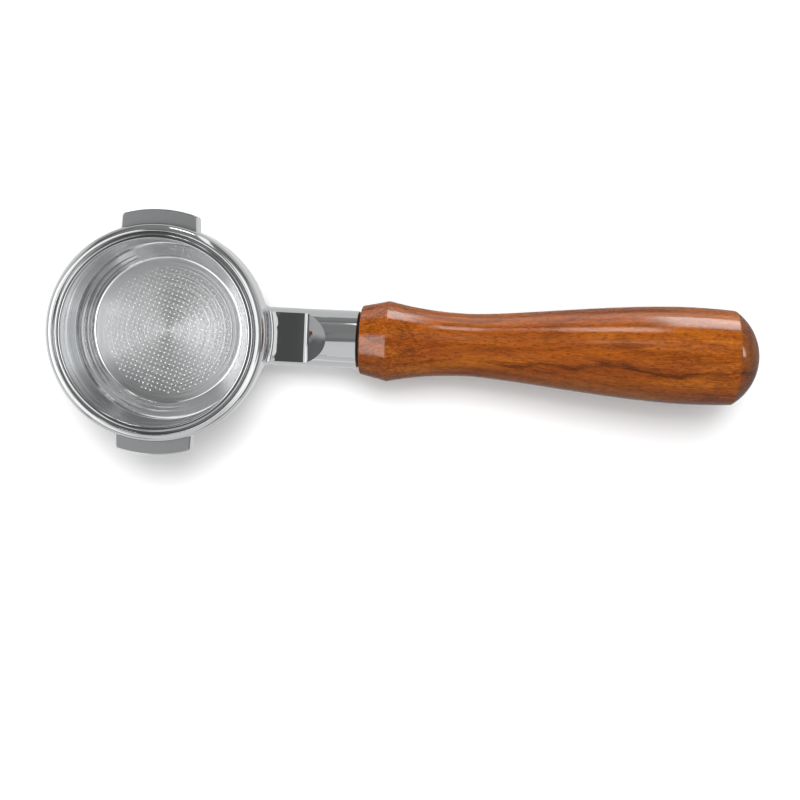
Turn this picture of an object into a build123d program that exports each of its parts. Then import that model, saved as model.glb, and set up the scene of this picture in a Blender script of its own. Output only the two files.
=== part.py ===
from build123d import *
import math
import os

# Naked portafilter for a 58 mm espresso group, with a turned wooden handle.
#
# Frame: millimetres, +Z up. The origin lies on the basket's axis in the plane that meets the
# group's gasket, which is the flat top of the basket's rim. +X runs out along the handle and
# the two bayonet lugs lie on +Y and -Y.

# ---------------------------------------------------------------- filter basket
BASKET_BORE = 58.6  # inside diameter, takes a 58.5 mm tamper
BASKET_SHEET = 0.7  # sheet thickness
BASKET_DEPTH = 24.0  # rim top to the inside of the base
BASKET_STRAIGHT = 17.6  # rim top to the foot of the straight wall
BASKET_BASE_DIA = 48.6  # inside diameter of the flat base
BASKET_RIM_DIA = 62.3  # outside of the rolled rim
BASKET_RIM_HEIGHT = 1.5  # height of the rolled rim
RIM_INNER_ROUND = 0.7  # mouth edge of the rim
RIM_OUTER_ROUND = 0.6  # outer edges of the rim
BASE_BEND = 1.0  # inside radius where the cone meets the base
WALL_BEND = 1.2  # inside radius where the wall meets the cone
HOLE_DIA = 1.05  # perforations of the base
HOLE_PITCH = 4.455  # between perforations, which stand on a square grid
HOLE_FIELD_DIA = 42.2  # the round field that the perforations keep to
HOLE_ROW_ANGLE = -19.0  # degrees from the handle's direction to the rows

# ---------------------------------------------------------------- body casting
BODY_HEIGHT = 30.0  # gasket plane to the foot of the ring
COLLAR_DIA = 68.9  # outside of the upper ring
COLLAR_HEIGHT = 12.5  # gasket plane to the lower end of the straight collar
FOOT_DIA = 64.6  # outside of the ring at its foot
FOOT_CHAMFER = 0.6  # outer edge of the foot
FOOT_INNER_CHAMFER = 0.4
RIM_PROUD = 0.4  # how far the basket's rim stands above the ring's lip
LIP_OUTER_ROUND = 2.5  # nearly the whole width of the lip, which falls away outwards
LIP_INNER_ROUND = 0.4
BORE_CLEARANCE = 0.35  # radial, basket wall to ring bore
SEAT_CLEARANCE = 0.6  # radial, basket rim to ring lip
SEAT_GAP = 0.1  # under the basket's rim

# ---------------------------------------------------------------- bayonet lugs
LUG_SPAN = 77.8  # across both lugs
LUG_WIDTH = 23.4  # at the tip
LUG_TAPER = 3.0  # degrees that each side draws in towards the tip
LUG_DROP = 4.0  # gasket plane to the lugs' upper faces
LUG_THICKNESS = 7.5
LUG_CORNER_ROUND = 1.2  # upright corners
LUG_CHAMFER = 0.4  # upper and lower edges

# ---------------------------------------------------------------- neck and thumb notch
NECK_DIA = 18.8
NECK_RISE = 4.4  # degrees that neck and handle rise above the ring's plane
NECK_END = 64.2  # along the neck from the ring's axis
NECK_FOOT_MARGIN = 1.0  # neck's underside above the ring's foot, at the ring
NECK_FILLET = 2.4  # where the neck runs into the ring
NECK_CHAMFER = 0.5
NOTCH_DEPTH = 4.45  # crown of the neck down to the notch floor
NOTCH_FLOOR_END = 47.4  # along the neck, where the ramp starts
NOTCH_RAMP_ANGLE = 33.5  # degrees between floor and ramp
NOTCH_RAMP_FILLET = 3.0  # between floor and ramp
NOTCH_WALL_FILLET = 1.6  # between floor and the ring's wall

# ---------------------------------------------------------------- retaining spring
SPRING_WIRE = 1.4  # wire diameter
SPRING_DROP = 8.0  # gasket plane to the wire's centre
SPRING_BASKET_GAP = 0.15  # radial, wire to basket wall
SPRING_GROOVE_GAP = 0.05  # wire to each face of its groove
SPRING_OPENING = 26.0  # degrees between the wire's ends

# ---------------------------------------------------------------- stud, insert and washer
STUD_DIA = 10.0
STUD_IN_NECK = 13.0
STUD_IN_HANDLE = 17.0
STUD_CHAMFER = 0.8
THREAD_CLEARANCE = 0.05  # radial, stands for the thread's play
BORE_END_ROOM = 0.6  # free length past the end of a stud or insert
INSERT_DIA = 14.0
INSERT_LENGTH = 20.0
INSERT_CHAMFER = 0.6
WASHER_DIA = 18.2
WASHER_THICKNESS = 0.6
WASHER_CLEARANCE = 0.2  # radial, washer to stud

# ---------------------------------------------------------------- wooden handle
HANDLE_LENGTH = 127.2
HANDLE_FRONT_DIA = 22.2
RIDGE_DIA = 26.2
RIDGE_AT = 8.7  # from the handle's front face
WAIST_DIA = 20.3
WAIST_AT = 34.4
BELLY_DIA = 31.15
BELLY_AT = 105.0
TAIL_DIA = 30.2  # at the crease before the domed end
TAIL_DOME = 8.2  # height of the domed end
TAIL_ROUND = 1.2
FRONT_ROUND = 0.4
RIDGE_ROUND = 0.3
WAIST_PULL = 14.0  # how far the waist's curve holds its direction
BELLY_PULL = 24.0  # how far the belly's curve holds its direction

# ---------------------------------------------------------------- derived sizes
basket_bore_r = BASKET_BORE / 2
basket_wall_r = basket_bore_r + BASKET_SHEET
basket_rim_r = BASKET_RIM_DIA / 2
basket_base_r = BASKET_BASE_DIA / 2
ring_bore_r = basket_wall_r + BORE_CLEARANCE
seat_r = basket_rim_r + SEAT_CLEARANCE
seat_z = -BASKET_RIM_HEIGHT - SEAT_GAP
collar_r = COLLAR_DIA / 2
foot_r = FOOT_DIA / 2
lug_r = LUG_SPAN / 2
neck_r = NECK_DIA / 2
wire_r = SPRING_WIRE / 2
spring_r = basket_wall_r + SPRING_BASKET_GAP + wire_r
groove_r = spring_r + wire_r + SPRING_GROOVE_GAP
groove_height = SPRING_WIRE + 2 * SPRING_GROOVE_GAP
stud_r = STUD_DIA / 2
thread_hole_r = stud_r + THREAD_CLEARANCE
insert_r = INSERT_DIA / 2
insert_hole_r = insert_r + THREAD_CLEARANCE
handle_front = NECK_END + WASHER_THICKNESS

# The neck's axis rises from a point below the origin, placed so that the neck's underside
# meets the ring just above its foot.
rise = math.radians(NECK_RISE)
arm_direction = Vector(math.cos(rise), 0, math.sin(rise))
neck_half_height = neck_r / math.cos(rise)
arm_drop = BODY_HEIGHT - NECK_FOOT_MARGIN - neck_half_height + collar_r * math.tan(rise)
arm_origin = Vector(0, 0, -arm_drop)
arm_axis = Axis(arm_origin, arm_direction)

# Half sections of the turned pieces are drawn in these planes. In arm_side local X runs along
# the neck and handle; in ring_side it runs away from the handle. Local Y points up in both.
arm_side = Plane(origin=arm_origin, x_dir=arm_direction, z_dir=(0, -1, 0))
ring_side = Plane(origin=(0, 0, 0), x_dir=(-1, 0, 0), z_dir=(0, 1, 0))


def across_arm(distance: float) -> Plane:
    """Return the plane square to the neck's axis, facing outwards, at a distance along it."""
    origin = arm_origin + arm_direction * distance
    return Plane(origin=origin, x_dir=arm_side.y_dir, z_dir=arm_direction)


os.makedirs("parts", exist_ok=True)

# ---------------------------------------------------------------- lugs, before they join the ring
with BuildPart() as lugs:
    with BuildSketch(Plane.XY.offset(-LUG_DROP)):
        Circle(lug_r)
        width_at_axis = LUG_WIDTH + 2 * lug_r * math.tan(math.radians(LUG_TAPER))
        Trapezoid(
            width_at_axis,
            lug_r,
            90 - LUG_TAPER,
            align=(Align.CENTER, Align.MIN),
            mode=Mode.INTERSECT,
        )
        mirror(about=Plane.XZ)
        Circle(seat_r, mode=Mode.SUBTRACT)
    extrude(amount=-LUG_THICKNESS)
    outer_corners = lugs.edges().filter_by(Axis.Z).group_by(SortBy.DISTANCE)[-1]
    fillet(outer_corners, LUG_CORNER_ROUND)
    flat_edges = lugs.faces().filter_by(Plane.XY).edges()
    root_edges = flat_edges.filter_by(GeomType.CIRCLE).group_by(SortBy.RADIUS)[1]
    chamfer(flat_edges - root_edges, LUG_CHAMFER)

# ---------------------------------------------------------------- thumb notch, as its cutter
with BuildPart() as notch:
    # A flat floor, a fillet and a ramp that leaves through the neck's crown.
    floor_y = neck_r - NOTCH_DEPTH
    notch_top = neck_r + NOTCH_DEPTH
    ramp_run = (notch_top - floor_y) / math.tan(math.radians(NOTCH_RAMP_ANGLE))
    with BuildSketch(arm_side):
        with BuildLine():
            ramp = FilletPolyline(
                (0, floor_y),
                (NOTCH_FLOOR_END, floor_y),
                (NOTCH_FLOOR_END + ramp_run, notch_top),
                radius=NOTCH_RAMP_FILLET,
            )
            Polyline(ramp @ 1, (0, notch_top), ramp @ 0)
        make_face()
    extrude(amount=NECK_DIA, both=True)
    # The notch stops at the ring's wall, with a fillet along its foot.
    with BuildSketch():
        Circle(collar_r)
    extrude(amount=BODY_HEIGHT, both=True, mode=Mode.SUBTRACT)
    fillet(notch.edges().filter_by(GeomType.ELLIPSE).group_by(Axis.Z)[0], NOTCH_WALL_FILLET)

# ---------------------------------------------------------------- portafilter_body
with BuildPart() as portafilter_body:
    # Ring, still solid: a straight collar over a bowl that draws in towards the foot.
    with BuildSketch(ring_side):
        with BuildLine():
            lip = Line((0, -RIM_PROUD), (collar_r, -RIM_PROUD))
            collar = Line(lip @ 1, (collar_r, -COLLAR_HEIGHT))
            bowl_end = (foot_r, -BODY_HEIGHT + FOOT_CHAMFER)
            bowl = TangentArc(collar @ 1, bowl_end, tangent=(0, -1))
            foot = Line(bowl @ 1, (foot_r - FOOT_CHAMFER, -BODY_HEIGHT))
            Polyline(foot @ 1, (0, -BODY_HEIGHT), lip @ 0)
        make_face()
    revolve(axis=Axis.Z)
    add(lugs.part)
    lip_edge = portafilter_body.edges().filter_by(GeomType.CIRCLE).sort_by(Axis.Z)[-1]
    fillet(lip_edge, LIP_OUTER_ROUND)

    # Neck, started inside the ring and rounded off where it comes out of the wall.
    with BuildSketch(across_arm(basket_base_r)):
        Circle(neck_r)
    extrude(amount=NECK_END - basket_base_r)
    seam = portafilter_body.edges(Select.NEW).filter_by(GeomType.BSPLINE)
    fillet(seam, NECK_FILLET)
    chamfer(portafilter_body.edges().sort_by(arm_axis)[-1], NECK_CHAMFER)

    add(notch.part, mode=Mode.SUBTRACT)

    # Bore right through, basket seat and spring groove.
    with BuildSketch(ring_side):
        with Locations((0, 0)):
            Rectangle(ring_bore_r, BODY_HEIGHT, align=(Align.MIN, Align.MAX))
            Rectangle(seat_r, -seat_z, align=(Align.MIN, Align.MAX))
        with Locations((0, -SPRING_DROP)):
            Rectangle(groove_r, groove_height, align=(Align.MIN, Align.CENTER))
    revolve(axis=Axis.Z, mode=Mode.SUBTRACT)
    lip_edges = portafilter_body.edges().filter_by(GeomType.CIRCLE).group_by(Axis.Z)[-1]
    fillet(lip_edges.sort_by(SortBy.RADIUS)[0], LIP_INNER_ROUND)
    foot_edges = portafilter_body.edges().filter_by(GeomType.CIRCLE).group_by(Axis.Z)[0]
    chamfer(foot_edges.sort_by(SortBy.RADIUS)[0], FOOT_INNER_CHAMFER)

    # Blind hole for the handle's stud.
    with Locations(across_arm(NECK_END)):
        Hole(thread_hole_r, STUD_IN_NECK + BORE_END_ROOM)

portafilter_body.part.label = "portafilter_body"
export_step(portafilter_body.part, "parts/portafilter_body.step")

# ---------------------------------------------------------------- filter_basket
with BuildPart() as filter_basket:
    # Sheet: straight wall, conical wall and flat base, drawn along the inside.
    with BuildSketch(ring_side):
        with BuildLine():
            FilletPolyline(
                (basket_bore_r, -RIM_INNER_ROUND),
                (basket_bore_r, -BASKET_STRAIGHT),
                (basket_base_r, -BASKET_DEPTH),
                (0, -BASKET_DEPTH),
                radius=(WALL_BEND, BASE_BEND),
            )
            offset(amount=BASKET_SHEET, side=Side.LEFT)
        make_face()
    revolve(axis=Axis.Z)

    # Rolled rim, with a flat land on top for the gasket.
    with BuildSketch(ring_side) as rim_section:
        rim_width = basket_rim_r - basket_bore_r
        with Locations((basket_bore_r, 0)):
            Rectangle(rim_width, BASKET_RIM_HEIGHT, align=(Align.MIN, Align.MAX))
        fillet(rim_section.vertices().group_by(Axis.X)[-1], RIM_OUTER_ROUND)
        mouth_edge = rim_section.vertices().sort_by_distance((basket_bore_r, 0))[0]
        fillet(mouth_edge, RIM_INNER_ROUND)
    revolve(axis=Axis.Z)

    # Perforated base: a square grid of holes, kept to a round field.
    hole_room = (HOLE_FIELD_DIA - HOLE_DIA) / 2
    rows = 2 * math.floor(hole_room / HOLE_PITCH) + 1
    grid = GridLocations(HOLE_PITCH, HOLE_PITCH, rows, rows).local_locations
    holes = [hole for hole in grid if hole.position.length <= hole_room]
    with BuildSketch(Plane.XY.offset(-BASKET_DEPTH).rotated((0, 0, HOLE_ROW_ANGLE))):
        with Locations(*holes):
            Circle(HOLE_DIA / 2)
    extrude(amount=-BASKET_SHEET, mode=Mode.SUBTRACT)

filter_basket.part.label = "filter_basket"
export_step(filter_basket.part, "parts/filter_basket.step")

# ---------------------------------------------------------------- basket_spring
with BuildPart() as basket_spring:
    with BuildLine(Plane.XY.offset(-SPRING_DROP)) as wire:
        CenterArc((0, 0), spring_r, SPRING_OPENING / 2 - 180, 360 - SPRING_OPENING)
    with BuildSketch(Plane(origin=wire.line @ 0, z_dir=wire.line % 0)):
        Circle(wire_r)
    sweep(path=wire.line)

basket_spring.part.label = "basket_spring"
export_step(basket_spring.part, "parts/basket_spring.step")

# ---------------------------------------------------------------- handle_stud
with BuildPart() as handle_stud:
    with BuildSketch(across_arm(NECK_END - STUD_IN_NECK)):
        Circle(stud_r)
    extrude(amount=STUD_IN_NECK + WASHER_THICKNESS + STUD_IN_HANDLE)
    chamfer(handle_stud.edges().filter_by(GeomType.CIRCLE), STUD_CHAMFER)

handle_stud.part.label = "handle_stud"
export_step(handle_stud.part, "parts/handle_stud.step")

# ---------------------------------------------------------------- handle_washer
with BuildPart() as handle_washer:
    with BuildSketch(across_arm(NECK_END)):
        Circle(WASHER_DIA / 2)
        Circle(stud_r + WASHER_CLEARANCE, mode=Mode.SUBTRACT)
    extrude(amount=WASHER_THICKNESS)

handle_washer.part.label = "handle_washer"
export_step(handle_washer.part, "parts/handle_washer.step")

# ---------------------------------------------------------------- threaded_insert
with BuildPart() as threaded_insert:
    with BuildSketch(across_arm(handle_front)):
        Circle(insert_r)
        Circle(thread_hole_r, mode=Mode.SUBTRACT)
    extrude(amount=INSERT_LENGTH)
    rims = threaded_insert.edges().filter_by(GeomType.CIRCLE).group_by(SortBy.RADIUS)[-1]
    chamfer(rims, INSERT_CHAMFER)

threaded_insert.part.label = "threaded_insert"
export_step(threaded_insert.part, "parts/threaded_insert.step")

# ---------------------------------------------------------------- wood_handle
with BuildPart() as wood_handle:
    handle_end = handle_front + HANDLE_LENGTH
    with BuildSketch(arm_side) as handle_section:
        with BuildLine():
            front = (handle_front, HANDLE_FRONT_DIA / 2)
            ridge = (handle_front + RIDGE_AT, RIDGE_DIA / 2)
            waist = (handle_front + WAIST_AT, WAIST_DIA / 2)
            belly = (handle_front + BELLY_AT, BELLY_DIA / 2)
            crease = (handle_end - TAIL_DOME, TAIL_DIA / 2)
            Polyline((handle_front, 0), front, ridge)
            TangentArc(waist, ridge, tangent=(-1, 0))
            Bezier(
                waist,
                (waist[0] + WAIST_PULL, waist[1]),
                (belly[0] - BELLY_PULL, belly[1]),
                belly,
            )
            TangentArc(belly, crease, tangent=(1, 0))
            TangentArc((handle_end, 0), crease, tangent=(0, 1))
            Line((handle_end, 0), (handle_front, 0))
        make_face()
        for corner, radius in ((front, FRONT_ROUND), (ridge, RIDGE_ROUND), (crease, TAIL_ROUND)):
            fillet(handle_section.vertices().sort_by_distance(corner)[0], radius)
    revolve(axis=arm_axis)

    # Socket for the threaded insert.
    with BuildSketch(across_arm(handle_front)):
        Circle(insert_hole_r)
    extrude(amount=INSERT_LENGTH + BORE_END_ROOM, mode=Mode.SUBTRACT)

wood_handle.part.label = "wood_handle"
export_step(wood_handle.part, "parts/wood_handle.step")
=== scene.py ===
"""Looks of a bottomless espresso portafilter with a turned and lacquered wooden handle.

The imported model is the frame. Everything is in metres in its coordinates: +Z is up, the origin
lies on the basket's axis in the plane of its rim, +X runs out along the handle and the bayonet
lugs lie on +Y and -Y.
"""

import logging
import math
from dataclasses import dataclass
from enum import Enum
from typing import Any

import bmesh
import bpy
from bmesh.types import BMesh, BMFace, BMVert
from bpy.types import Collection, Light, Material, Node, NodeSocket, NodeTree, Object
from mathutils import Euler, Matrix, Vector
from mathutils.geometry import delaunay_2d_cdt


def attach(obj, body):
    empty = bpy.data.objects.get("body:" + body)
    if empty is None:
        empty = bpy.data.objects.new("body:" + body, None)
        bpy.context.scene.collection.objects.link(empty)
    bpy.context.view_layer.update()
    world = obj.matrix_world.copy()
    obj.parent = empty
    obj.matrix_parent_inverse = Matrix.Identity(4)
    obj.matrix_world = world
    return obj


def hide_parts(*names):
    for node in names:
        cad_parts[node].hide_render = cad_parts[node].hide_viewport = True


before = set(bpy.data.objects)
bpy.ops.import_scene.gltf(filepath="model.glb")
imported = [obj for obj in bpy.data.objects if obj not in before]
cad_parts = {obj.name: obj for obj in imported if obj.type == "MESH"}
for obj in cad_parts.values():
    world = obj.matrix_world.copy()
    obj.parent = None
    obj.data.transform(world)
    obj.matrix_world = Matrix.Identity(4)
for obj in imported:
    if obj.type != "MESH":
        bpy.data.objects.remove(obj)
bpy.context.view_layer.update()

MM = 0.001  # metres in a millimetre
SHARP_FROM = math.radians(12)  # faces that meet at more than this keep a crisp edge
OCTAVE_WEIGHT = 0.6  # of each finer octave of a noise against the one before

log = logging.getLogger("portafilter")

Point = tuple[float, float]
Place = tuple[float, float, float]
Colour = tuple[float, float, float, float]


# ------------------------------------------------------------------------------ small helpers
def linear(hex_code: str) -> Colour:
    """Turn an sRGB colour into scene-linear RGBA.

    Args:
        hex_code: the colour as "#RRGGBB".

    Returns:
        Red, green, blue and an alpha of 1.
    """
    channels = []
    for start in (1, 3, 5):
        value = int(hex_code[start : start + 2], 16) / 255
        channels.append(value / 12.92 if value <= 0.04045 else ((value + 0.055) / 1.055) ** 2.4)
    return (channels[0], channels[1], channels[2], 1.0)


def arc(centre: Point, radius: float, start: float, end: float, steps: int) -> list[Point]:
    """Return points along an arc, both ends included.

    Args:
        centre: the arc's centre.
        radius: the arc's radius.
        start: the first point's angle in degrees.
        end: the last point's angle in degrees.
        steps: the number of chords.

    Returns:
        The arc's points in order.
    """
    angles = [math.radians(start + (end - start) * step / steps) for step in range(steps + 1)]
    return [(centre[0] + radius * math.cos(a), centre[1] + radius * math.sin(a)) for a in angles]


def circle(radius: float, sides: int) -> list[Point]:
    """Return the corners of a regular polygon round the origin.

    Args:
        radius: the corners' distance from the origin.
        sides: the number of corners.

    Returns:
        The corners in order, the first on +X.
    """
    angles = [math.tau * side / sides for side in range(sides)]
    return [(radius * math.cos(a), radius * math.sin(a)) for a in angles]


def dress_node(name: str, material: Material) -> None:
    """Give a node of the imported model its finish.

    Args:
        name: the node's name.
        material: the finish that covers the whole node.
    """
    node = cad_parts[name]
    node.data.materials.clear()
    node.data.materials.append(material)
    log.info("dressed %s in %s", name, material.name)


# ------------------------------------------------------------------------------ shader helpers
def add_node(
    tree: NodeTree, kind: str, inputs: dict[Any, Any] | None = None, **settings: Any
) -> Node:
    """Add a node, set its properties and fill or link its inputs.

    Args:
        tree: the node tree that takes the node.
        kind: the node's type, such as "ShaderNodeMath".
        inputs: for each input's name or number, a value or the output socket that feeds it.
        settings: the node's own properties, such as operation="ADD".

    Returns:
        The new node.
    """
    node = tree.nodes.new(kind)
    for name, value in settings.items():
        setattr(node, name, value)
    for socket, value in (inputs or {}).items():
        if isinstance(value, NodeSocket):
            tree.links.new(value, node.inputs[socket])
        else:
            node.inputs[socket].default_value = value
    return node


def maths(tree: NodeTree, operation: str, *values: Any) -> NodeSocket:
    """Work out a number.

    Args:
        tree: the node tree.
        operation: what is worked out, such as "ADD".
        values: the numbers or output sockets that it takes, in order.

    Returns:
        The result.
    """
    node = add_node(tree, "ShaderNodeMath", dict(enumerate(values)), operation=operation)
    return node.outputs["Value"]


def vector_maths(tree: NodeTree, operation: str, *values: Any) -> NodeSocket:
    """Work out a vector, or a number from vectors.

    Args:
        tree: the node tree.
        operation: what is worked out, such as "ADD".
        values: the vectors or output sockets that it takes, in order.

    Returns:
        The result: a number for a length or a dot product, and otherwise a vector.
    """
    node = add_node(tree, "ShaderNodeVectorMath", dict(enumerate(values)), operation=operation)
    return node.outputs["Value" if operation in ("LENGTH", "DOT_PRODUCT") else "Vector"]


def blend(tree: NodeTree, share: Any, first: Any, second: Any) -> NodeSocket:
    """Blend two numbers or two colours.

    Args:
        tree: the node tree.
        share: the share of the second.
        first: a number or a colour.
        second: the same, or the output socket that gives it.

    Returns:
        The blend.
    """
    # A mix node has numbered sockets of its own for numbers and for colours.
    if isinstance(first, tuple):
        inputs = {0: share, 6: first, 7: second}
        return add_node(tree, "ShaderNodeMix", inputs, data_type="RGBA").outputs[2]
    inputs = {0: share, 2: first, 3: second}
    return add_node(tree, "ShaderNodeMix", inputs, data_type="FLOAT").outputs[0]


def bump(
    tree: NodeTree,
    height: NodeSocket,
    depth: float,
    strength: Any = 1.0,
    under: NodeSocket | None = None,
) -> NodeSocket:
    """Lean the normal as if the surface rose and fell with a pattern.

    Args:
        tree: the material's node tree.
        height: the pattern.
        depth: how far the surface seems to rise as the pattern goes from 0 to 1.
        strength: the share of the lean that is used.
        under: the normal that it leans, where another bump lies under this one.

    Returns:
        The leaning normal.
    """
    inputs = {"Height": height, "Strength": strength, "Distance": depth}
    if under is not None:
        inputs["Normal"] = under
    return add_node(tree, "ShaderNodeBump", inputs).outputs["Normal"]


def set_stops(node: Node, stops: tuple[tuple[float, str], ...]) -> None:
    """Give a colour ramp its stops.

    Args:
        node: the ColorRamp node.
        stops: position and sRGB colour of each stop, from left to right.
    """
    elements = node.color_ramp.elements
    while len(elements) < len(stops):
        elements.new(1.0)
    for element, (position, colour) in zip(elements, stops):
        element.position = position
        element.color = linear(colour)


@dataclass(frozen=True)
class Ramp:
    """A level that eases from one value to another while a pattern crosses a range."""

    start: float  # the pattern's value where the level starts to change
    end: float  # the pattern's value where it has changed
    first: float = 0.0  # the level up to the start
    last: float = 1.0  # the level from the end on

    def add(self, tree: NodeTree, pattern: NodeSocket) -> NodeSocket:
        """Add the level to a node tree.

        Args:
            tree: the node tree.
            pattern: the value that it follows.

        Returns:
            The level.
        """
        inputs = {
            "Value": pattern,
            "From Min": self.start,
            "From Max": self.end,
            "To Min": self.first,
            "To Max": self.last,
        }
        node = add_node(tree, "ShaderNodeMapRange", inputs, interpolation_type="SMOOTHSTEP")
        return node.outputs["Result"]


@dataclass(frozen=True)
class Blots:
    """Noise whose blots are drawn out along the grain."""

    width: float
    stretch: float  # the blots' length as a multiple of their width
    detail: float = 0.0  # octaves of finer noise
    wander: float = 0.0  # how much the blots twist

    def add(self, tree: NodeTree, along: NodeSocket) -> NodeSocket:
        """Add the noise to a node tree.

        Args:
            tree: the node tree.
            along: coordinates with X along the grain.

        Returns:
            The noise's value, whose middle is a half.
        """
        scales = (1 / (self.width * self.stretch), 1 / self.width, 1 / self.width)
        inputs = {
            "Vector": vector_maths(tree, "MULTIPLY", along, scales),
            "Scale": 1.0,
            "Detail": self.detail,
            "Roughness": OCTAVE_WEIGHT,
            "Distortion": self.wander,
        }
        return add_node(tree, "ShaderNodeTexNoise", inputs).outputs["Fac"]


# ------------------------------------------------------------------------------ finishes
@dataclass(frozen=True, kw_only=True)
class Finish:
    """A surface as its maker leaves it. Subclasses add the pattern to the shader."""

    name: str
    colour: str
    roughness: float
    metallic: float = 1.0

    def material(self) -> Material:
        """Return the finish as a node material."""
        material = bpy.data.materials.new(self.name)
        material.use_nodes = True
        tree = material.node_tree
        tree.nodes.clear()
        inputs = {
            "Base Color": linear(self.colour),
            "Metallic": self.metallic,
            "Roughness": self.roughness,
        }
        shader = add_node(tree, "ShaderNodeBsdfPrincipled", inputs)
        add_node(tree, "ShaderNodeOutputMaterial", {"Surface": shader.outputs["BSDF"]})
        self.pattern(tree, shader)
        return material

    def pattern(self, tree: NodeTree, shader: Node) -> None:
        """Add the finish's texture to its shader.

        Args:
            tree: the material's node tree.
            shader: its Principled node.
        """


@dataclass(frozen=True)
class RoughSpot:
    """A box of the casting that the buffing wheel can't reach, so that its skin stays lumpy."""

    middle: Place
    size: Place
    lump_width: float
    lump_depth: float
    border: Ramp = Ramp(1.0, 0.85)  # over the share of the way from the middle to a side

    def inside(self, tree: NodeTree, place: NodeSocket) -> NodeSocket:
        """Find the box.

        Args:
            tree: the material's node tree.
            place: the object's coordinates.

        Returns:
            1 in the box, 0 elsewhere.
        """
        half_size = tuple(length / 2 for length in self.size)
        offset = vector_maths(tree, "SUBTRACT", place, self.middle)
        shares = vector_maths(tree, "DIVIDE", offset, half_size)
        sizes = vector_maths(tree, "ABSOLUTE", shares)
        parts = add_node(tree, "ShaderNodeSeparateXYZ", {"Vector": sizes})
        largest = parts.outputs["X"]
        for axis in ("Y", "Z"):
            largest = maths(tree, "MAXIMUM", largest, parts.outputs[axis])
        return self.border.add(tree, largest)


@dataclass(frozen=True)
class PolishedChrome(Finish):
    """Chrome plate over a buffed brass casting, with lugs whose faces are only ground.

    The eye sees a mirror with the faint waviness that buffing leaves on a casting, lumps in the
    notch, which the wheel can't reach, and a satin grey on the flats of the lugs.
    """

    name: str = "polished_chrome"
    colour: str = "#CECFD0"
    roughness: float = 0.045
    wave_width: float = 9.0 * MM
    wave_depth: float = 0.012 * MM
    notch_corner: RoughSpot = RoughSpot(
        middle=(36.0 * MM, 0.0, -14.0 * MM),
        size=(8.0 * MM, 18.0 * MM, 10.0 * MM),
        lump_width=3.0 * MM,
        lump_depth=0.06 * MM,
    )
    notch_ramp: RoughSpot = RoughSpot(
        middle=(50.0 * MM, 1.0 * MM, -12.0 * MM),
        size=(8.0 * MM, 18.0 * MM, 5.0 * MM),
        lump_width=9.0 * MM,
        lump_depth=0.3 * MM,
    )
    ground_colour: str = "#9A9B9C"
    ground_roughness: float = 0.4
    lug_from: float = 28.0 * MM  # distance from the handle's plane where the lugs' flats start
    lug_below: float = 3.5 * MM  # depth under the rim where they start
    lug_facing: float = 0.9  # share of up or down in their normal

    def pattern(self, tree: NodeTree, shader: Node) -> None:
        """Add the waves, the lumps of the notch and the ground faces of the lugs.

        Args:
            tree: the material's node tree.
            shader: its Principled node.
        """
        place = add_node(tree, "ShaderNodeTexCoord").outputs["Object"]
        layers: list[tuple[float, float, Any]] = [(self.wave_width, self.wave_depth, 1.0)]
        for spot in (self.notch_corner, self.notch_ramp):
            layers.append((spot.lump_width, spot.lump_depth, spot.inside(tree, place)))
        normal = None
        for width, depth, strength in layers:
            inputs = {"Vector": place, "Scale": 1 / width, "Detail": 1.0}
            lumps = add_node(tree, "ShaderNodeTexNoise", inputs).outputs["Fac"]
            normal = bump(tree, lumps, depth, strength, normal)
        tree.links.new(normal, shader.inputs["Normal"])
        ground = self.ground_faces(tree, place)
        roughness = blend(tree, ground, self.roughness, self.ground_roughness)
        tree.links.new(roughness, shader.inputs["Roughness"])
        colour = blend(tree, ground, linear(self.colour), linear(self.ground_colour))
        tree.links.new(colour, shader.inputs["Base Color"])

    def ground_faces(self, tree: NodeTree, place: NodeSocket) -> NodeSocket:
        """Find the lugs' flat upper and lower faces.

        Args:
            tree: the material's node tree.
            place: the object's coordinates.

        Returns:
            1 on those faces, 0 elsewhere.
        """
        parts = add_node(tree, "ShaderNodeSeparateXYZ", {"Vector": place})
        normal = add_node(tree, "ShaderNodeNewGeometry").outputs["Normal"]
        facing = add_node(tree, "ShaderNodeSeparateXYZ", {"Vector": normal})
        tests = (
            (parts.outputs["Y"], self.lug_from),
            (parts.outputs["Z"], self.lug_below),
            (facing.outputs["Z"], self.lug_facing),
        )
        sure: Any = 1.0
        for value, limit in tests:
            beyond = maths(tree, "GREATER_THAN", maths(tree, "ABSOLUTE", value), limit)
            sure = maths(tree, "MULTIPLY", sure, beyond)
        return sure


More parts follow.
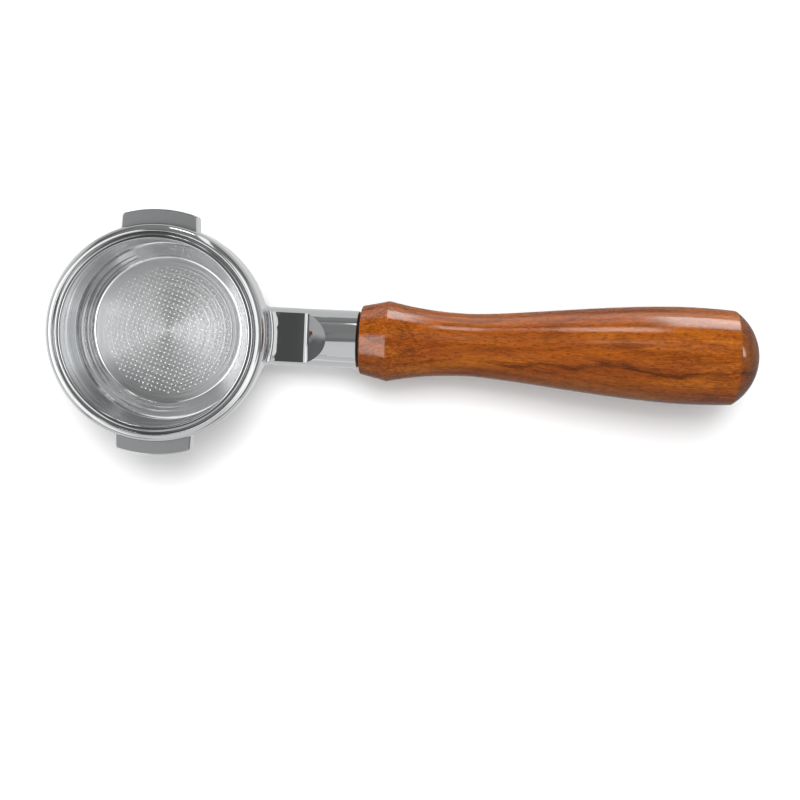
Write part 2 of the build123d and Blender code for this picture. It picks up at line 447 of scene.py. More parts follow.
@dataclass(frozen=True, kw_only=True)
class RoundWorkedStainless(Finish):
    """Stainless sheet worked as it spins, which leaves it with grooves round its axis.

    They spread light across themselves, so that a lamp is drawn out from the axis.
    """

    anisotropy: float
    groove_spacing: float
    groove_depth: float
    groove_octaves: float = 3.0
    spread_turn: float = 0.25  # a quarter turn lays the wide spread across the grooves

    def pattern(self, tree: NodeTree, shader: Node) -> None:
        """Add the grooves.

        Args:
            tree: the material's node tree.
            shader: its Principled node.
        """
        shader.inputs["Anisotropic"].default_value = self.anisotropy
        shader.inputs["Anisotropic Rotation"].default_value = self.spread_turn
        tangent = add_node(tree, "ShaderNodeTangent", direction_type="RADIAL", axis="Z")
        tree.links.new(tangent.outputs["Tangent"], shader.inputs["Tangent"])
        place = add_node(tree, "ShaderNodeTexCoord").outputs["Object"]
        parts = add_node(tree, "ShaderNodeSeparateXYZ", {"Vector": place}).outputs
        level = add_node(tree, "ShaderNodeCombineXYZ", {"X": parts["X"], "Y": parts["Y"]})
        radius = vector_maths(tree, "LENGTH", level.outputs["Vector"])
        section = add_node(tree, "ShaderNodeCombineXYZ", {"X": radius, "Y": parts["Z"]})
        inputs = {
            "Vector": section.outputs["Vector"],
            "Scale": 1 / self.groove_spacing,
            "Detail": self.groove_octaves,
            "Roughness": OCTAVE_WEIGHT,
        }
        grooves = add_node(tree, "ShaderNodeTexNoise", inputs).outputs["Fac"]
        tree.links.new(bump(tree, grooves, self.groove_depth), shader.inputs["Normal"])


@dataclass(frozen=True)
class DrawnStainless(RoundWorkedStainless):
    """Deep-drawn wall of the cup, bright and slightly uneven from base to rim.

    The eye sees a soft mirror whose light and dark bands run round the wall.
    """

    name: str = "drawn_stainless"
    colour: str = "#DCDDDE"
    roughness: float = 0.06
    anisotropy: float = 0.5
    groove_spacing: float = 5.0 * MM
    groove_depth: float = 0.5 * MM  # deeper than the real unevenness, so that it shows


@dataclass(frozen=True)
class TurnedStainless(RoundWorkedStainless):
    """Base of the cup, dressed with an abrasive as it spins.

    The eye sees a satin grey disc with fine rings and a bow tie of light across it.
    """

    name: str = "turned_stainless"
    colour: str = "#C4C5C6"
    roughness: float = 0.3
    anisotropy: float = 0.9
    groove_spacing: float = 0.9 * MM  # coarser than the real rings, so that they show
    groove_depth: float = 0.32 * MM


@dataclass(frozen=True)
class BuffedStainless(Finish):
    """Rolled rim, buffed where the gasket bears on it: a thin bright ring, nearly a mirror."""

    name: str = "buffed_stainless"
    colour: str = "#B5B6B7"
    roughness: float = 0.09


@dataclass(frozen=True)
class PaintedHoleGlint(Finish):
    """Painted highlight on the mouths and throats of the punched holes.

    The steel there is painted a pale matte grey that shows whichever way the lamp stands, so each
    hole reads as a bright dot.
    """

    name: str = "painted_hole_glint"
    colour: str = "#A6A6A6"
    roughness: float = 0.9
    metallic: float = 0.0


@dataclass(frozen=True)
class LacqueredRosewood(Finish):
    """Turned rosewood under a thick gloss lacquer.

    The eye sees reddish brown wood with a golden figure, dark growth lines and short pores
    along the handle, mottled where flare and tail cut across the grain, all under one sharp
    highlight.
    """

    name: str = "lacquered_rosewood"
    colour: str = "#8A4519"
    roughness: float = 0.5
    metallic: float = 0.0

    lacquer_roughness: float = 0.1
    peel: Blots = Blots(0.5 * MM, 3.0, detail=1.0)
    peel_depth: float = 0.004 * MM

    rise: float = 4.4  # degrees that the grain climbs with the handle
    axis_drop: float = 22.2 * MM
    figure: Blots = Blots(6.5 * MM, 8.0, detail=3.0, wander=0.6)
    figure_tones: tuple[tuple[float, str], ...] = (
        (0.30, "#6B310C"),
        (0.45, "#7B3D0C"),
        (0.56, "#86460E"),
        (0.72, "#935615"),
    )
    fibres: Blots = Blots(0.42 * MM, 11.0, detail=3.0)  # coarser than real ones, so that they show
    fibre_shade: Ramp = Ramp(0.30, 0.70, 0.79, 1.21)
    pores: Blots = Blots(0.34 * MM, 4.5)  # twice the real width, so that the pores show
    pore_shade: Ramp = Ramp(0.58, 0.70, 1.0, 0.66)

    pith_aside: float = 12.0 * MM
    pith_below: float = 26.0 * MM
    ring_spacing: float = 2.4 * MM
    ring_change: float = 0.12  # how fast the rings change along the handle, against across it
    ring_wander: float = 5.0
    ring_wander_scale: float = 1.6
    ring_octaves: float = 3.0
    ring_fade: float = 0.42  # the figure's value where the lines have their own strength
    ring_shade: Ramp = Ramp(0.0, 0.35, 0.80, 1.0)

    vein_aside: float = -4.5 * MM
    vein_bends: Blots = Blots(10.0 * MM, 2.5, detail=1.0)
    vein_wander: float = 10.0 * MM
    vein_edge: Blots = Blots(1.0 * MM, 9.0, detail=3.0)
    vein_raggedness: float = 4.4 * MM
    vein_shade: Ramp = Ramp(0.0, 1.1 * MM, 0.5, 1.0)  # over the distance from its middle
    vein_here: Ramp = Ramp(92.0 * MM, 118.0 * MM)  # over the distance along the handle

    flecks: Blots = Blots(1.1 * MM, 2.2, detail=3.0, wander=1.5)
    fleck_shade: Ramp = Ramp(0.38, 0.62, 0.72, 1.22)
    flare: Ramp = Ramp(76.0 * MM, 96.0 * MM, 1.0, 0.0)  # share of the flecks along the handle
    tail: Ramp = Ramp(150.0 * MM, 172.0 * MM, 0.0, 0.6)

    end_shade: Ramp = Ramp(0.15, 0.7, 1.0, 0.5)  # over how far the surface faces along the grain

    def pattern(self, tree: NodeTree, shader: Node) -> None:
        """Add figure, growth lines, vein, fibres and pores, and the lacquer over them.

        Args:
            tree: the material's node tree.
            shader: its Principled node.
        """
        shader.inputs["Coat Weight"].default_value = 1.0
        shader.inputs["Coat Roughness"].default_value = self.lacquer_roughness
        # The lacquer soaks the wood, so light turns back at the lacquer's face alone.
        shader.inputs["Specular IOR Level"].default_value = 0.0
        inputs = {
            "Vector": add_node(tree, "ShaderNodeTexCoord").outputs["Object"],
            "Location": (0.0, 0.0, self.axis_drop),
            "Rotation": (0.0, math.radians(self.rise), 0.0),
        }
        along = add_node(tree, "ShaderNodeMapping", inputs).outputs["Vector"]
        figure = self.figure.add(tree, along)
        tone = add_node(tree, "ShaderNodeValToRGB", {"Fac": figure})
        set_stops(tone, self.figure_tones)
        light = self.fibre_shade.add(tree, self.fibres.add(tree, along))
        marks = (
            self.pore_shade.add(tree, self.pores.add(tree, along)),
            self.ring_shade.add(tree, self.growth_lines(tree, along, figure)),
            self.vein(tree, along),
            self.mottle(tree, along),
            self.end_grain(tree),
        )
        for mark in marks:
            light = maths(tree, "MULTIPLY", light, mark)
        inputs = {0: tone.outputs["Color"], "Scale": light}
        wood = add_node(tree, "ShaderNodeVectorMath", inputs, operation="SCALE")
        tree.links.new(wood.outputs["Vector"], shader.inputs["Base Color"])
        skin = bump(tree, self.peel.add(tree, along), self.peel_depth)
        tree.links.new(skin, shader.inputs["Coat Normal"])

    def growth_lines(self, tree: NodeTree, along: NodeSocket, figure: NodeSocket) -> NodeSocket:
        """Add the rings round the pith, which the turning cuts into long lines.

        Args:
            tree: the material's node tree.
            along: coordinates with X along the handle.
            figure: the figure's value, which fades the lines here and there.

        Returns:
            A value that is lowest on the dark late wood.
        """
        from_pith = vector_maths(tree, "ADD", along, (0.0, self.pith_aside, self.pith_below))
        # A wave texture of scale 1 has its rings 2 pi / 20 apart.
        inputs = {
            "Vector": vector_maths(tree, "MULTIPLY", from_pith, (self.ring_change, 1.0, 1.0)),
            "Scale": math.tau / 20 / self.ring_spacing,
            "Distortion": self.ring_wander,
            "Detail": self.ring_octaves,
            "Detail Scale": self.ring_wander_scale,
            "Detail Roughness": OCTAVE_WEIGHT,
        }
        settings = {"wave_type": "RINGS", "rings_direction": "X"}
        rings = add_node(tree, "ShaderNodeTexWave", inputs, **settings)
        faded = maths(tree, "ADD", rings.outputs["Fac"], figure)
        return maths(tree, "SUBTRACT", faded, self.ring_fade)

    def vein(self, tree: NodeTree, along: NodeSocket) -> NodeSocket:
        """Add the dark vein that wanders along the handle's -Y side.

        Args:
            tree: the material's node tree.
            along: coordinates with X along the handle.

        Returns:
            A factor on the wood's colour, 1 away from the vein.
        """
        parts = add_node(tree, "ShaderNodeSeparateXYZ", {"Vector": along}).outputs
        course = add_node(tree, "ShaderNodeCombineXYZ", {"X": parts["X"]}).outputs["Vector"]
        bends = self.vein_bends.add(tree, course)
        ragged = self.vein_edge.add(tree, along)
        terms = (
            (bends, self.vein_wander, self.vein_aside),
            (ragged, self.vein_raggedness, 0.0),
        )
        distance = parts["Y"]
        for noise, reach, middle in terms:
            shift = maths(tree, "MULTIPLY_ADD", noise, reach, middle - reach / 2)
            distance = maths(tree, "SUBTRACT", distance, shift)
        dark = self.vein_shade.add(tree, maths(tree, "ABSOLUTE", distance))
        return blend(tree, self.vein_here.add(tree, parts["X"]), 1.0, dark)

    def mottle(self, tree: NodeTree, along: NodeSocket) -> NodeSocket:
        """Add the flecks of flare and tail, where the cut runs across the grain.

        Args:
            tree: the material's node tree.
            along: coordinates with X along the handle.

        Returns:
            A factor on the wood's colour, 1 between flare and tail.
        """
        factor = self.fleck_shade.add(tree, self.flecks.add(tree, along))
        parts = add_node(tree, "ShaderNodeSeparateXYZ", {"Vector": along}).outputs
        ends = (self.flare.add(tree, parts["X"]), self.tail.add(tree, parts["X"]))
        return blend(tree, maths(tree, "MAXIMUM", *ends), 1.0, factor)

    def end_grain(self, tree: NodeTree) -> NodeSocket:
        """Darken the handle's end, where the pores drink the stain.

        Args:
            tree: the material's node tree.

        Returns:
            A factor on the wood's colour, 1 where the grain lies along the surface.
        """
        normal = add_node(tree, "ShaderNodeNewGeometry").outputs["Normal"]
        grain = (math.cos(math.radians(self.rise)), 0.0, -math.sin(math.radians(self.rise)))
        return self.end_shade.add(tree, vector_maths(tree, "DOT_PRODUCT", normal, grain))


@dataclass(frozen=True)
class BlackRubber(Finish):
    """Moulded nitrile rubber: near black and matte."""

    name: str = "black_rubber"
    colour: str = "#151515"
    roughness: float = 0.6
    metallic: float = 0.0


@dataclass(frozen=True)
class MachinedBrass(Finish):
    """Brass as the lathe leaves it: warm yellow with a soft shine."""

    name: str = "machined_brass"
    colour: str = "#D9B25F"
    roughness: float = 0.25


@dataclass(frozen=True)
class ZincPlatedSteel(Finish):
    """Steel under bright zinc plate: a cool grey with a soft shine."""

    name: str = "zinc_plated_steel"
    colour: str = "#B9BABD"
    roughness: float = 0.3


@dataclass(frozen=True)
class SpringSteel(Finish):
    """Drawn spring wire: a thin bright line, slightly darker than the cup."""

    name: str = "spring_steel"
    colour: str = "#A9A9AB"
    roughness: float = 0.22


@dataclass(frozen=True)
class PalePaper(Finish):
    """White background paper: even, matte and nearly white."""

    name: str = "pale_paper"
    colour: str = "#F4F4F4"
    roughness: float = 0.9
    metallic: float = 0.0


@dataclass(frozen=True)
class LitPaper(PalePaper):
    """The same paper where it has its own lamps, so that it stays pale away from the middle."""

    name: str = "lit_paper"
    glow: Ramp = Ramp(0.5, 1.5, 0.0, 0.85)  # over the distance from the middle

    def pattern(self, tree: NodeTree, shader: Node) -> None:
        """Add the lamps' light, which grows with the distance from the middle.

        Args:
            tree: the material's node tree.
            shader: its Principled node.
        """
        place = add_node(tree, "ShaderNodeTexCoord").outputs["Object"]
        level = vector_maths(tree, "MULTIPLY", place, (1.0, 1.0, 0.0))
        glow = self.glow.add(tree, vector_maths(tree, "LENGTH", level))
        tree.links.new(glow, shader.inputs["Emission Strength"])


# ------------------------------------------------------------------------------ filter basket
class CupFace(Enum):
    """The parts of the cup, each with its own finish."""

    WALL = DrawnStainless
    BASE = TurnedStainless
    RIM = BuffedStainless
    # The hole faces carry a painted highlight: a pale matte grey in place of bare steel.
    HOLE = PaintedHoleGlint


@dataclass
class FilterBasket:
    """The stainless cup with its rolled rim and its sieve of small punched holes."""

    bore: float = 58.6 * MM
    sheet: float = 0.7 * MM
    depth: float = 24.0 * MM
    straight: float = 17.6 * MM
    base_width: float = 48.6 * MM
    rim_width: float = 62.3 * MM
    rim_height: float = 1.5 * MM
    rim_inner_round: float = 0.7 * MM
    rim_outer_round: float = 0.6 * MM
    wall_bend: float = 1.2 * MM
    base_bend: float = 1.0 * MM
    hole: float = 0.24 * MM
    dimple: float = 0.56 * MM
    dimple_depth: float = 0.06 * MM
    hole_pitch: float = 1.485 * MM
    hole_row_angle: float = -19.0  # degrees
    field_radius: float = 20.9 * MM
    plate_radius: float = 22.6 * MM
    turns: int = 240
    hole_sides: int = 12
    bend_steps: int = 8
    weld_gap: float = 1e-7  # points closer than this are one
    plate_gap: float = 1e-9  # the same while a plate is divided into faces
    flat_from: float = 0.999  # share of up or down in a flat face's normal

    def wall_profile(self) -> list[Point]:
        """Return the section of wall and rim, from the plate's top round to its underside."""
        inside = self.bore / 2
        base = self.base_width / 2
        lean = math.degrees(math.atan2(inside - base, self.depth - self.straight))
        lip, roll, steps = self.rim_inner_round, self.rim_outer_round, self.bend_steps
        edge = self.rim_width / 2 - roll
        profile = self.bend_arcs(inside, base, lean, 0.0)
        # A point halfway up keeps the faces of the straight wall short.
        profile.append((inside, -(self.rim_height + self.straight) / 2))
        profile += arc((inside + lip, -lip), lip, 180, 90, steps)
        profile += arc((edge, -roll), roll, 90, 0, steps)
        profile += arc((edge, roll - self.rim_height), roll, 0, -90, steps)
        profile.append((inside + self.sheet, -self.rim_height))
        profile += reversed(self.bend_arcs(inside, base, lean, self.sheet))
        return profile

    def bend_arcs(self, inside: float, base: float, lean: float, skin: float) -> list[Point]:
        """Return the path along one face of the sheet, from the plate out and up the wall.

        Args:
            inside: radius of the bore.
            base: radius where cone and base would meet.
            lean: the cone's angle from upright, in degrees.
            skin: distance of the face outside the cup's inner face.

        Returns:
            Radius and height of each point.
        """
        low = self.base_bend
        low_back = low * math.tan(math.radians(90 - lean) / 2)
        low_centre = (base - low_back, -self.depth + low)
        high = self.wall_bend
        high_back = high * math.tan(math.radians(lean) / 2)
        high_centre = (inside - high, -self.straight + high_back)
        path = [(self.plate_radius, -self.depth - skin)]
        path += arc(low_centre, low + skin, -90, -lean, self.bend_steps)
        path += arc(high_centre, high + skin, -lean, 0, self.bend_steps)
        return path

    def hole_centres(self) -> list[Vector]:
        """Return the centres of the holes, on a square grid kept to a round field."""
        reach = math.ceil(self.field_radius / self.hole_pitch)
        turn = Matrix.Rotation(math.radians(self.hole_row_angle), 2)
        steps = range(-reach, reach + 1)
        grid = [Vector((x, y)) * self.hole_pitch for x in steps for y in steps]
        return [turn @ spot for spot in grid if spot.length <= self.field_radius]

    def add_wall(self, mesh: BMesh) -> None:
        """Add the wall and the rim.

        Args:
            mesh: the mesh under construction.
        """
        section = self.wall_profile()
        columns = [
            [mesh.verts.new((radius * cos, radius * sin, height)) for radius, height in section]
            for cos, sin in circle(1.0, self.turns)
        ]
        for turn in range(self.turns):
            here, there = columns[turn], columns[(turn + 1) % self.turns]
            for low in range(len(section) - 1):
                mesh.faces.new((here[low], there[low], there[low + 1], here[low + 1]))

    def add_plate(
        self, mesh: BMesh, centres: list[Vector], hole_radius: float, height: float
    ) -> list[list[BMVert]]:
        """Add one face of the perforated base.

        Args:
            mesh: the mesh under construction.
            centres: the centres of the holes.
            hole_radius: radius of the holes in this face.
            height: the face's height.

        Returns:
            The ring of vertices round each hole.
        """
        points = [Vector(corner) for corner in circle(self.plate_radius, self.turns)]
        edges = [(turn, (turn + 1) % self.turns) for turn in range(self.turns)]
        # The hole that each point belongs to, or -1 on the plate's outline.
        owner = [-1] * self.turns
        for number, centre in enumerate(centres):
            first = len(points)
            for side, corner in enumerate(circle(1.0, self.hole_sides)):
                points.append(centre + Vector(corner) * hole_radius)
                edges.append((first + side, first + (side + 1) % self.hole_sides))
                owner.append(number)
        flat, _, faces, originals, _, _ = delaunay_2d_cdt(
            points, edges, [], 1, self.plate_gap, True
        )
        verts = [mesh.verts.new((spot.x, spot.y, height)) for spot in flat]
        owners = [owner[ids[0]] for ids in originals]
        for face in faces:
            owned = {owners[corner] for corner in face}
            # A face whose corners all belong to one hole would close it.
            if len(owned) > 1 or -1 in owned:
                mesh.faces.new([verts[corner] for corner in face])
        rings: list[list[BMVert]] = [[] for _ in centres]
        by_original = {ids[0]: vert for ids, vert in zip(originals, verts)}
        for original in range(self.turns, len(points)):
            rings[owner[original]].append(by_original[original])
        return rings

    def add_sieve(self, mesh: BMesh) -> int:
        """Add the perforated base, with a dimple round each hole.

        Args:
            mesh: the mesh under construction.

        Returns:
            The number of holes.
        """
        centres = self.hole_centres()
        top = self.add_plate(mesh, centres, self.dimple / 2, -self.depth)
        bottom = self.add_plate(mesh, centres, self.hole / 2, -self.depth - self.sheet)
        height = -self.depth - self.dimple_depth
        for number, (x, y) in enumerate(centres):
            throat = []
            for vert in top[number]:
                throat_x = x + (vert.co.x - x) * self.hole / self.dimple
                throat_y = y + (vert.co.y - y) * self.hole / self.dimple
                throat.append(mesh.verts.new((throat_x, throat_y, height)))
            for upper, lower in ((top[number], throat), (throat, bottom[number])):
                for side in range(self.hole_sides):
                    after = (side + 1) % self.hole_sides
                    mesh.faces.new((upper[side], upper[after], lower[after], lower[side]))
        return len(centres)

    def build(self) -> Object:
        """Build the cup with its sieve and return it."""
        mesh = bmesh.new()
        self.add_wall(mesh)
        holes = self.add_sieve(mesh)
        bmesh.ops.remove_doubles(mesh, verts=mesh.verts, dist=self.weld_gap)
        bmesh.ops.recalc_face_normals(mesh, faces=mesh.faces)
        for edge in mesh.edges:
            edge.smooth = edge.calc_face_angle(0.0) < SHARP_FROM
        kinds = list(CupFace)
        for face in mesh.faces:
            face.smooth = True
            face.material_index = kinds.index(self.kind_of(face))
        data = bpy.data.meshes.new("basket_cup")
        mesh.to_mesh(data)
        mesh.free()
        cup = bpy.data.objects.new("basket_cup", data)
        bpy.context.collection.objects.link(cup)
        log.info("built basket_cup with %d holes", holes)
        return cup

    def kind_of(self, face: BMFace) -> CupFace:
        """Tell which part of the cup a face belongs to.

        Args:
            face: a face of the cup.

        Returns:
            The part of the cup.
        """
        middle = face.calc_center_median()
        if middle.z > -self.rim_height:
            return CupFace.RIM
        if abs(face.normal.z) >= self.flat_from:
            return CupFace.BASE
        return CupFace.WALL if middle.xy.length > self.plate_radius else CupFace.HOLE

    def dress(self, cup: Object) -> None:
        """Give the cup its finishes.

        Args:
            cup: the built cup.
        """
        for kind in CupFace:
            cup.data.materials.append(kind.value().material())
        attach(cup, "basket")
        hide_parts("filter_basket")


# ------------------------------------------------------------------------------ body and handle
@dataclass
class RingAndNeck:
    """The plated casting: ring, lugs and notched neck, with the basket's spring."""

    casting: Finish = PolishedChrome()
    spring: Finish = SpringSteel()

    def dress(self) -> None:
        """Give the casting and the spring their finishes."""
        dress_node("portafilter_body", self.casting.material())
        dress_node("basket_spring", self.spring.material())


@dataclass
class Handle:
    """The turned handle with its washer, threaded insert and stud."""

    wood: Finish = LacqueredRosewood()
    washer: Finish = BlackRubber()
    insert: Finish = MachinedBrass()
    stud: Finish = ZincPlatedSteel()

    def dress(self) -> None:
        """Give the handle's parts their finishes."""
        dress_node("wood_handle", self.wood.material())
        dress_node("handle_washer", self.washer.material())
        dress_node("threaded_insert", self.insert.material())
        dress_node("handle_stud", self.stud.material())


# ------------------------------------------------------------------------------ studio
class Role(Enum):
    """What a lamp is for."""

    LIGHT = "lights surfaces and isn't mirrored in them"
    METAL = "is mirrored in the metal parts"
    CUP = "lights and is mirrored in the basket"
    LACQUER = "is mirrored in the handle's lacquer"


@dataclass(frozen=True)
class Softbox:
    """A soft rectangular lamp that fades towards its edges."""

    name: str
    role: Role
    place: Place
    aim: Place
    width: float
    height: float
    radiance: float
    feather: float = 0.0  # metres over which it fades

    def build(self, reach: dict[Role, Collection]) -> None:
        """Build the lamp.

        Args:
            reach: for each role that has one, the only objects its lamps reach.
        """
        lamp = bpy.data.lights.new(self.name, "AREA")
        lamp.shape = "RECTANGLE"
        lamp.size = self.width
        lamp.size_y = self.height
        # A flat lamp of power P has the radiance P / (pi * area).
        lamp.energy = self.radiance * math.pi * self.width * self.height
        if self.feather:
            self.fade(lamp)
        holder = bpy.data.objects.new(self.name, lamp)
        holder.location = self.place
        toward = Vector(self.aim) - Vector(self.place)
        holder.rotation_euler = toward.to_track_quat("-Z", "Y").to_euler()
        holder.visible_camera = False
        holder.visible_glossy = self.role is not Role.LIGHT
        holder.visible_diffuse = self.role is not Role.LACQUER
        if self.role in reach:
            holder.light_linking.receiver_collection = reach[self.role]
        bpy.context.collection.objects.link(holder)
        log.info("hung %s, which %s", self.name, self.role.value)

    def fade(self, lamp: Light) -> None:
        """Dim the lamp towards its edges.

        Args:
            lamp: the lamp's data.
        """
        lamp.use_nodes = True
        tree = lamp.node_tree
        tree.nodes.clear()
        spot = add_node(tree, "ShaderNodeNewGeometry").outputs["Parametric"]
        sides = add_node(tree, "ShaderNodeSeparateXYZ", {"Vector": spot}).outputs
        glow: Any = 1.0
        for side, length in (("X", self.width), ("Y", self.height)):
            # From 0 at one edge to 1 at the other becomes 0 at both and a half in the middle.
            inwards = maths(tree, "PINGPONG", sides[side], 0.5)
            edge = Ramp(0.0, self.feather / length).add(tree, inwards)
            glow = maths(tree, "MULTIPLY", glow, edge)
        light = add_node(tree, "ShaderNodeEmission", {"Strength": glow})
        add_node(tree, "ShaderNodeOutputLight", {"Surface": light.outputs["Emission"]})


@dataclass(frozen=True)
class Panel:
    """A level softbox under the ceiling, which metal alone mirrors."""

    name: str
    x_from: float
    x_to: float
    y_from: float
    y_to: float
    radiance: float

    def softbox(self, height: float, feather: float) -> Softbox:
        """Return the panel as a lamp.

        Args:
            height: the height at which it hangs.
            feather: how far it fades, and how far neighbours overlap, so that no seam shows.

        Returns:
            The lamp.
        """
        x, y = (self.x_from + self.x_to) / 2, (self.y_from + self.y_to) / 2
        width, length = self.x_to - self.x_from + feather, self.y_to - self.y_from + feather
        place, aim = (x, y, height), (x, y, 0.0)
        return Softbox(self.name, Role.METAL, place, aim, width, length, self.radiance, feather)


@dataclass
class Studio:
    """Pale floor, soft lights and the camera above the portafilter."""

    floor_height: float = -30.0 * MM
    floor_radius: float = 0.5
    floor_sides: int = 128
    cove_radius: float = 1.6
    cove_bend: float = 0.7
    cove_steps: int = 16
    cove_height: float = 2.2
    camera_place: Place = (76.206 * MM, 20.012 * MM, 375.702 * MM)
    camera_roll: float = 2.57  # degrees
    camera_tilt: float = 3.792  # degrees
    sensor: float = 36.0  # millimetres
    lens: float = 54.18  # millimetres
    frame_shift: float = -0.05  # of the frame's width
    lamps: tuple[Softbox, ...] = (
        # Name, role, place, aim, width, height, radiance and feather of each.
        Softbox("key_light", Role.LIGHT, (0.08, 1.0, 1.73), (0.08, 0, 0), 1.2, 1.2, 7.5),
        Softbox("top_fill", Role.LIGHT, (0.1, 0.2, 2.5), (0.1, 0, 0), 4.0, 4.0, 1.75),
        Softbox("near_fill", Role.LIGHT, (0.12, -1.3, 0.45), (0.12, 0, -0.01), 1.8, 0.9, 0.5),
        Softbox("window", Role.LACQUER, (0.5, 1.0, 0.02), (0.5, 0, 0.02), 0.66, 0.66, 6.0, 0.12),
        Softbox("strip", Role.LACQUER, (0.06, 1.0, 0.5), (0.06, 0, 0.5), 0.36, 0.38, 5.0, 0.12),
        Softbox("tube", Role.LACQUER, (0.055, 0.45, 0.8), (0.055, 0.45, 0), 0.2, 0.06, 2.5, 0.02),
        Softbox(
            "left_lamp", Role.LACQUER, (-0.4, -0.25, 0.6), (-0.4, -0.25, 0), 0.5, 1.2, 3.8, 0.24
        ),
        Softbox("window_glow", Role.LACQUER, (0.3, 1.2, -0.3), (0.3, 0, -0.3), 3.4, 1.2, 1.0, 0.3),
        Softbox("end_lamp", Role.LACQUER, (1.2, 0.17, 0.14), (0.2, 0, 0), 0.3, 0.12, 7.0, 0.05),
        Softbox("glint", Role.METAL, (0.05, 1.0, 0.41), (0.05, 0, 0.41), 0.31, 0.14, 14.0, 0.06),
        Softbox("left_bank", Role.CUP, (-1.15, -0.02, 0.75), (0, 0, 0), 1.7, 0.5, 7.0, 0.3),
        Softbox("right_bank", Role.CUP, (0.5, 0.0, 0.8), (0, 0, 0), 0.8, 0.4, 4.0, 0.2),
        Softbox("back_strip", Role.METAL, (0.3, 1.0, 0.8), (0.3, 0, 0.8), 0.24, 1.7, 1.1, 0.08),
        Softbox("front_wall", Role.METAL, (0.2, -3.0, 0.1), (0.2, 0, 0.1), 6.0, 1.8, 0.45, 0.3),
        Softbox("end_card", Role.METAL, (2.0, 0.5, 0.4), (0, 0, 0), 1.8, 0.8, 0.6, 0.38),
        Softbox("floor_glow", Role.METAL, (0, 0, -0.6), (0, 0, 0), 8.0, 8.0, 0.42, 0.5),
    )
    panels: tuple[Panel, ...] = (
        # Name, from x, to x, from y, to y and radiance of each.
        Panel("left_panel", -1.70, -0.62, -0.45, 0.42, 1.50),
        Panel("left_back_panel", -0.62, -0.24, 0.10, 0.42, 1.50),
        Panel("left_middle_panel", -0.62, -0.24, -0.14, 0.10, 0.90),
        Panel("left_near_panel", -0.62, -0.24, -0.45, -0.14, 1.50),
        Panel("left_front_panel", -1.70, -0.45, -1.60, -0.45, 1.15),
        Panel("front_panel", -0.45, 0.60, -3.00, -0.45, 0.58),
        Panel("near_panel", -0.18, 0.20, -0.45, -0.16, 0.56),
        Panel("right_front_panel", 0.60, 1.60, -1.20, -0.30, 1.20),
        Panel("right_panel", 0.20, 0.60, -0.45, 0.45, 1.40),
        Panel("overhead_front", -0.14, 0.20, -0.16, -0.06, 0.11),
        Panel("overhead", -0.14, 0.20, -0.06, 0.10, 0.14),
        Panel("overhead_back", -0.14, 0.20, 0.10, 0.42, 0.20),
        Panel("back_overhead", -0.80, 0.80, 0.42, 2.60, 0.18),
        Panel("right_far", 0.60, 1.70, -0.30, 0.90, 0.25),
    )
    panel_height: float = 0.8
    panel_step: float = 0.002  # from panel to panel, so that none hides another
    panel_feather: float = 0.04
    room_glow: float = 0.12
    walls: tuple[tuple[str, Ramp], ...] = (
        # A component of the direction that is looked in, and the glow over its value.
        ("Z", Ramp(0.90, -0.05, 0.0, 0.38)),
        ("Y", Ramp(-0.10, -0.26, 0.0, 0.30)),
        ("X", Ramp(-0.60, -0.80, 0.0, 0.90)),
        ("X", Ramp(0.60, 0.80, 0.0, 0.17)),
    )

    def build(self) -> dict[Role, Collection]:
        """Build floor, surroundings, lamps and camera.

        Returns:
            For each role that has one, the collection of what its lamps reach, still empty.
        """
        reach = {
            role: bpy.data.collections.new(f"{role.name.lower()}_parts")
            for role in (Role.METAL, Role.CUP, Role.LACQUER)
        }
        self.build_floor()
        self.build_surroundings()
        for lamp in self.lamps:
            lamp.build(reach)
        for number, panel in enumerate(self.panels):
            height = self.panel_height + number * self.panel_step
            panel.softbox(height, self.panel_feather).build(reach)
        self.build_camera()
        bpy.context.scene.view_settings.view_transform = "Standard"
        return reach

    def build_floor(self) -> None:
        """Lay the pale floor under the ring's foot, and the cove that it runs up into."""
        rim = (self.floor_radius, self.floor_height)
        self.lay_paper("floor", [(0.0, self.floor_height), rim], PalePaper())
        bend = self.cove_bend
        foot = (self.cove_radius, self.floor_height + bend)
        curve = arc(foot, bend, -90.0, 0.0, self.cove_steps)
        top = (self.cove_radius + bend, self.cove_height)
        cove = self.lay_paper("cove", [rim, *curve, top], LitPaper())
        # The cove is only a backdrop, so it doesn't light the portafilter.
        cove.visible_diffuse = False

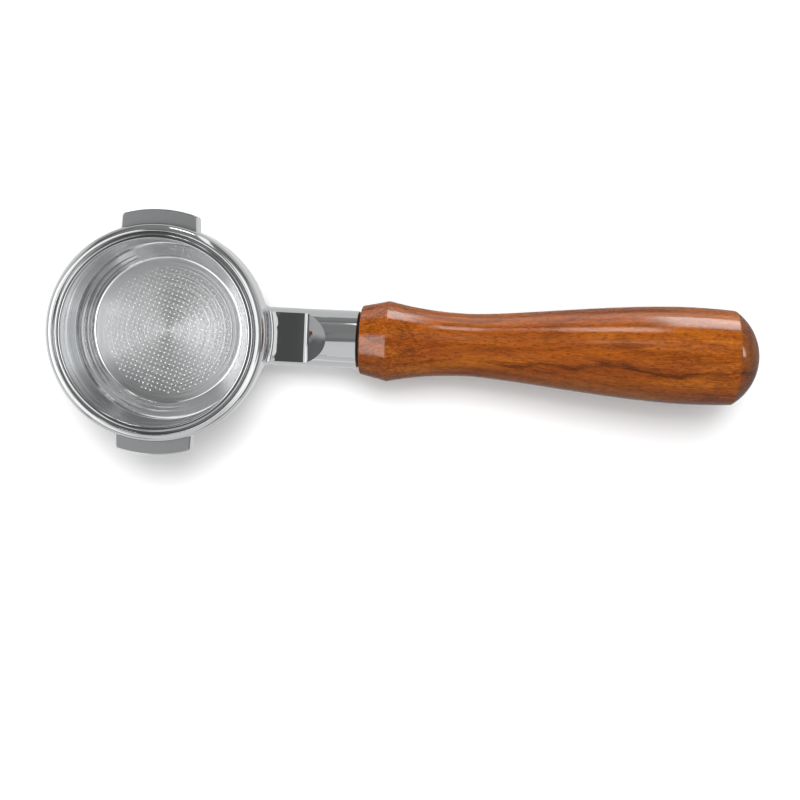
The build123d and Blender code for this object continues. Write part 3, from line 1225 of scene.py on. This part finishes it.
    def lay_paper(self, name: str, outline: list[Point], finish: Finish) -> Object:
        """Sweep an outline round the ring's axis into a sheet of background paper.

        Args:
            name: the sheet's name.
            outline: its points as radius and height.
            finish: the paper.

        Returns:
            The sheet.
        """
        sheet = bmesh.new()
        loops: list[list[BMVert]] = []
        for radius, height in outline:
            corners = circle(radius, self.floor_sides) if radius else [(0.0, 0.0)]
            loops.append([sheet.verts.new((*corner, height)) for corner in corners])
        for inner, outer in zip(loops, loops[1:]):
            for turn in range(self.floor_sides):
                after = (turn + 1) % self.floor_sides
                if len(inner) == 1:
                    sheet.faces.new((inner[0], outer[turn], outer[after]))
                else:
                    sheet.faces.new((inner[turn], outer[turn], outer[after], inner[after]))
        data = bpy.data.meshes.new(name)
        sheet.to_mesh(data)
        sheet.free()
        data.shade_smooth()
        data.materials.append(finish.material())
        paper = bpy.data.objects.new(name, data)
        # In mirrors the surroundings and the floor's own lamp stand for the paper, and the lamps
        # that hang below it or behind it shine through.
        paper.visible_glossy = False
        paper.visible_shadow = False
        bpy.context.collection.objects.link(paper)
        return paper

    def build_surroundings(self) -> None:
        """Paint the room that gloss mirrors.

        It is dim overhead and towards +Y, and paler towards the horizon, the front and the ends.
        """
        world = bpy.data.worlds.new("studio_room")
        world.use_nodes = True
        tree = world.node_tree
        tree.nodes.clear()
        place = add_node(tree, "ShaderNodeTexCoord").outputs["Generated"]
        parts = add_node(tree, "ShaderNodeSeparateXYZ", {"Vector": place}).outputs
        room: Any = self.room_glow
        for axis, wall in self.walls:
            room = maths(tree, "MAXIMUM", room, wall.add(tree, parts[axis]))
        light = add_node(tree, "ShaderNodeBackground", {"Strength": room})
        add_node(tree, "ShaderNodeOutputWorld", {"Surface": light.outputs["Background"]})
        bpy.context.scene.world = world
        world.cycles_visibility.diffuse = False

    def build_camera(self) -> None:
        """Hang the camera over the neck, looking down."""
        data = bpy.data.cameras.new("camera")
        data.sensor_width = self.sensor
        data.lens = self.lens
        data.shift_y = self.frame_shift
        camera = bpy.data.objects.new("camera", data)
        camera.location = self.camera_place
        turn = Euler((math.radians(-self.camera_tilt), 0.0, math.radians(self.camera_roll)), "XYZ")
        camera.rotation_euler = turn
        bpy.context.collection.objects.link(camera)
        bpy.context.scene.camera = camera


# ------------------------------------------------------------------------------ whole scene
def main() -> None:
    """Build the portafilter's looks in order."""
    logging.basicConfig(level=logging.INFO, format="%(name)s: %(message)s")
    reach = Studio().build()
    RingAndNeck().dress()
    Handle().dress()
    basket = FilterBasket()
    cup = basket.build()
    basket.dress(cup)
    for name in ("portafilter_body", "handle_stud"):
        reach[Role.METAL].objects.link(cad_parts[name])
    reach[Role.METAL].objects.link(cup)
    reach[Role.CUP].objects.link(cup)
    reach[Role.LACQUER].objects.link(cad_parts["wood_handle"])


if __name__ == "__main__":
    main()
